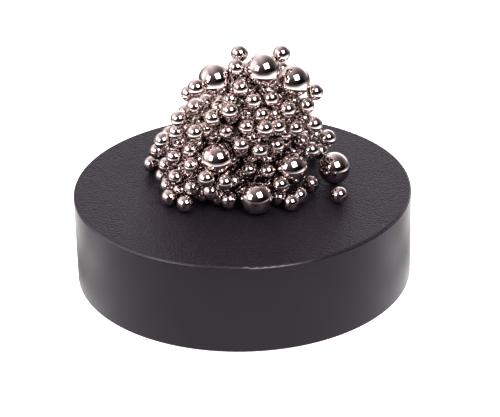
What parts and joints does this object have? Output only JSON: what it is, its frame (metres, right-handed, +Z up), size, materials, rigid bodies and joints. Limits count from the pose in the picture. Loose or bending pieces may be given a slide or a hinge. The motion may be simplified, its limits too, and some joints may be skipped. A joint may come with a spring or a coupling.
{
  "type": "magnetic desk sculpture",
  "caption": "Desk sculpture: a tall heap of small and large polished metal balls held in shape by a magnet inside a round black base with a softened top edge.",
  "frame": {"origin": "centre of the underside of the non-slip pad, where the sculpture meets the desk", "axes": "+Z up from the desk through the heap; -Y towards the person in front of it; +X to that person's right"},
  "size_m": [0.1, 0.1, 0.0741],
  "materials": {
    "ball_nickel": "mirror-polished nickel plate with a warm, slightly pink tone",
    "base_plastic": "black moulded plastic, fine leather grain on the top and satin smooth on the side",
    "ferrite": "dark grey sintered ferrite, matt",
    "yoke_steel": "zinc-plated sheet steel",
    "foam": "soft dark grey foam",
    "cover_plastic": "black moulded plastic",
    "screw_steel": "zinc-plated steel",
    "pad_rubber": "black non-slip rubber, matt"
  },
  "bodies": {
    "base": {"base_shell": "base_plastic", "ring_magnet": "ferrite", "steel_yoke": "yoke_steel", "foam_spacer": "foam", "bottom_cover": "cover_plastic", "cover_screws": "screw_steel", "non_slip_pad": "pad_rubber"},
    "heap": {"core_balls": "ball_nickel", "back_balls": "ball_nickel", "foot_balls": "ball_nickel", "tucked_balls": "ball_nickel", "left_balls": "ball_nickel", "middle_balls": "ball_nickel", "crown_balls": "ball_nickel", "large_ball_03": "ball_nickel"},
    "large_ball_01": {"large_ball_01": "ball_nickel"},
    "large_ball_02": {"large_ball_02": "ball_nickel"},
    "large_ball_04": {"large_ball_04": "ball_nickel"},
    "large_ball_05": {"large_ball_05": "ball_nickel"},
    "large_ball_06": {"large_ball_06": "ball_nickel"},
    "large_ball_07": {"large_ball_07": "ball_nickel"},
    "large_ball_08": {"large_ball_08": "ball_nickel"},
    "large_ball_09": {"large_ball_09": "ball_nickel"},
    "large_ball_10": {"large_ball_10": "ball_nickel"},
    "small_ball_01": {"small_ball_01": "ball_nickel"},
    "small_ball_02": {"small_ball_02": "ball_nickel"},
    "small_ball_03": {"small_ball_03": "ball_nickel"},
    "small_ball_04": {"small_ball_04": "ball_nickel"},
    "small_ball_05": {"small_ball_05": "ball_nickel"},
    "small_ball_06": {"small_ball_06": "ball_nickel"},
    "small_ball_07": {"small_ball_07": "ball_nickel"},
    "small_ball_08": {"small_ball_08": "ball_nickel"},
    "small_ball_09": {"small_ball_09": "ball_nickel"},
    "small_ball_10": {"small_ball_10": "ball_nickel"},
    "small_ball_11": {"small_ball_11": "ball_nickel"},
    "small_ball_12": {"small_ball_12": "ball_nickel"},
    "small_ball_13": {"small_ball_13": "ball_nickel"},
    "small_ball_14": {"small_ball_14": "ball_nickel"},
    "small_ball_15": {"small_ball_15": "ball_nickel"},
    "small_ball_16": {"small_ball_16": "ball_nickel"},
    "small_ball_17": {"small_ball_17": "ball_nickel"},
    "small_ball_18": {"small_ball_18": "ball_nickel"},
    "small_ball_19": {"small_ball_19": "ball_nickel"},
    "small_ball_20": {"small_ball_20": "ball_nickel"},
    "small_ball_21": {"small_ball_21": "ball_nickel"},
    "small_ball_22": {"small_ball_22": "ball_nickel"},
    "small_ball_23": {"small_ball_23": "ball_nickel"},
    "small_ball_24": {"small_ball_24": "ball_nickel"}
  },
  "joints": [
    {"name": "heap_lift", "type": "slide", "parent": "base", "child": "heap", "axis": [0, 0, 1], "range_m": [0, 0.06]},
    {"name": "large_ball_01_pull", "type": "slide", "parent": "heap", "child": "large_ball_01", "axis": [0.059, -0.9728, 0.2242], "range_m": [0, 0.025]},
    {"name": "large_ball_02_pull", "type": "slide", "parent": "heap", "child": "large_ball_02", "axis": [0.7073, -0.654, 0.2684], "range_m": [0, 0.025]},
    {"name": "large_ball_04_pull", "type": "slide", "parent": "heap", "child": "large_ball_04", "axis": [-0.2366, 0.9113, 0.3369], "range_m": [0, 0.025]},
    {"name": "large_ball_05_pull", "type": "slide", "parent": "heap", "child": "large_ball_05", "axis": [0.5272, 0.6871, 0.5], "range_m": [0, 0.025]},
    {"name": "large_ball_06_pull", "type": "slide", "parent": "heap", "child": "large_ball_06", "axis": [-0.0698, 0.7718, 0.632], "range_m": [0, 0.025]},
    {"name": "large_ball_07_pull", "type": "slide", "parent": "heap", "child": "large_ball_07", "axis": [-0.1294, -0.483, 0.866], "range_m": [0, 0.025]},
    {"name": "large_ball_08_pull", "type": "slide", "parent": "heap", "child": "large_ball_08", "axis": [-0.4056, 0.4056, 0.8192], "range_m": [0, 0.025]},
    {"name": "large_ball_09_pull", "type": "slide", "parent": "heap", "child": "large_ball_09", "axis": [0, -0.5736, 0.8192], "range_m": [0, 0.025]},
    {"name": "large_ball_10_pull", "type": "slide", "parent": "heap", "child": "large_ball_10", "axis": [0.3214, -0.5567, 0.766], "range_m": [0, 0.025]},
    {"name": "small_ball_01_pull", "type": "slide", "parent": "heap", "child": "small_ball_01", "axis": [-0.5211, -0.8357, 0.1734], "range_m": [0, 0.02]},
    {"name": "small_ball_02_pull", "type": "slide", "parent": "heap", "child": "small_ball_02", "axis": [-0.3996, -0.9008, 0.17], "range_m": [0, 0.02]},
    {"name": "small_ball_03_pull", "type": "slide", "parent": "heap", "child": "small_ball_03", "axis": [-0.1277, -0.9708, 0.2033], "range_m": [0, 0.02]},
    {"name": "small_ball_04_pull", "type": "slide", "parent": "heap", "child": "small_ball_04", "axis": [0.2845, -0.9428, 0.1735], "range_m": [0, 0.02]},
    {"name": "small_ball_05_pull", "type": "slide", "parent": "heap", "child": "small_ball_05", "axis": [0.573, -0.8018, 0.1698], "range_m": [0, 0.02]},
    {"name": "small_ball_06_pull", "type": "slide", "parent": "heap", "child": "small_ball_06", "axis": [-0.8728, -0.43, 0.231], "range_m": [0, 0.02]},
    {"name": "small_ball_07_pull", "type": "slide", "parent": "heap", "child": "small_ball_07", "axis": [-0.1387, -0.933, 0.332], "range_m": [0, 0.02]},
    {"name": "small_ball_08_pull", "type": "slide", "parent": "heap", "child": "small_ball_08", "axis": [-0.2439, -0.904, 0.3511], "range_m": [0, 0.02]},
    {"name": "small_ball_09_pull", "type": "slide", "parent": "heap", "child": "small_ball_09", "axis": [-0.4996, -0.8108, 0.3049], "range_m": [0, 0.02]},
    {"name": "small_ball_10_pull", "type": "slide", "parent": "heap", "child": "small_ball_10", "axis": [0.0175, -0.9166, 0.3994], "range_m": [0, 0.02]},
    {"name": "small_ball_11_pull", "type": "slide", "parent": "heap", "child": "small_ball_11", "axis": [0.2503, -0.6783, 0.6909], "range_m": [0, 0.02]},
    {"name": "small_ball_12_pull", "type": "slide", "parent": "heap", "child": "small_ball_12", "axis": [0.083, -0.8559, 0.5104], "range_m": [0, 0.02]},
    {"name": "small_ball_13_pull", "type": "slide", "parent": "heap", "child": "small_ball_13", "axis": [0.462, -0.7533, 0.4681], "range_m": [0, 0.02]},
    {"name": "small_ball_14_pull", "type": "slide", "parent": "heap", "child": "small_ball_14", "axis": [-0.5359, -0.673, 0.5098], "range_m": [0, 0.02]},
    {"name": "small_ball_15_pull", "type": "slide", "parent": "heap", "child": "small_ball_15", "axis": [0.5674, -0.6491, 0.5067], "range_m": [0, 0.02]},
    {"name": "small_ball_16_pull", "type": "slide", "parent": "heap", "child": "small_ball_16", "axis": [0, -0.866, 0.5], "range_m": [0, 0.02]},
    {"name": "small_ball_17_pull", "type": "slide", "parent": "heap", "child": "small_ball_17", "axis": [0.4274, -0.6776, 0.5985], "range_m": [0, 0.02]},
    {"name": "small_ball_18_pull", "type": "slide", "parent": "heap", "child": "small_ball_18", "axis": [-0.3981, -0.6637, 0.6333], "range_m": [0, 0.02]},
    {"name": "small_ball_19_pull", "type": "slide", "parent": "heap", "child": "small_ball_19", "axis": [0.2932, -0.7077, 0.6428], "range_m": [0, 0.02]},
    {"name": "small_ball_20_pull", "type": "slide", "parent": "heap", "child": "small_ball_20", "axis": [-0.4663, -0.6077, 0.6428], "range_m": [0, 0.02]},
    {"name": "small_ball_21_pull", "type": "slide", "parent": "heap", "child": "small_ball_21", "axis": [0.423, -0.5293, 0.7355], "range_m": [0, 0.02]},
    {"name": "small_ball_22_pull", "type": "slide", "parent": "heap", "child": "small_ball_22", "axis": [-0.251, -0.6164, 0.7464], "range_m": [0, 0.02]},
    {"name": "small_ball_23_pull", "type": "slide", "parent": "heap", "child": "small_ball_23", "axis": [0.1906, -0.4772, 0.8579], "range_m": [0, 0.02]},
    {"name": "small_ball_24_pull", "type": "slide", "parent": "heap", "child": "small_ball_24", "axis": [-0.0261, -0.4642, 0.8853], "range_m": [0, 0.02]}
  ]
}
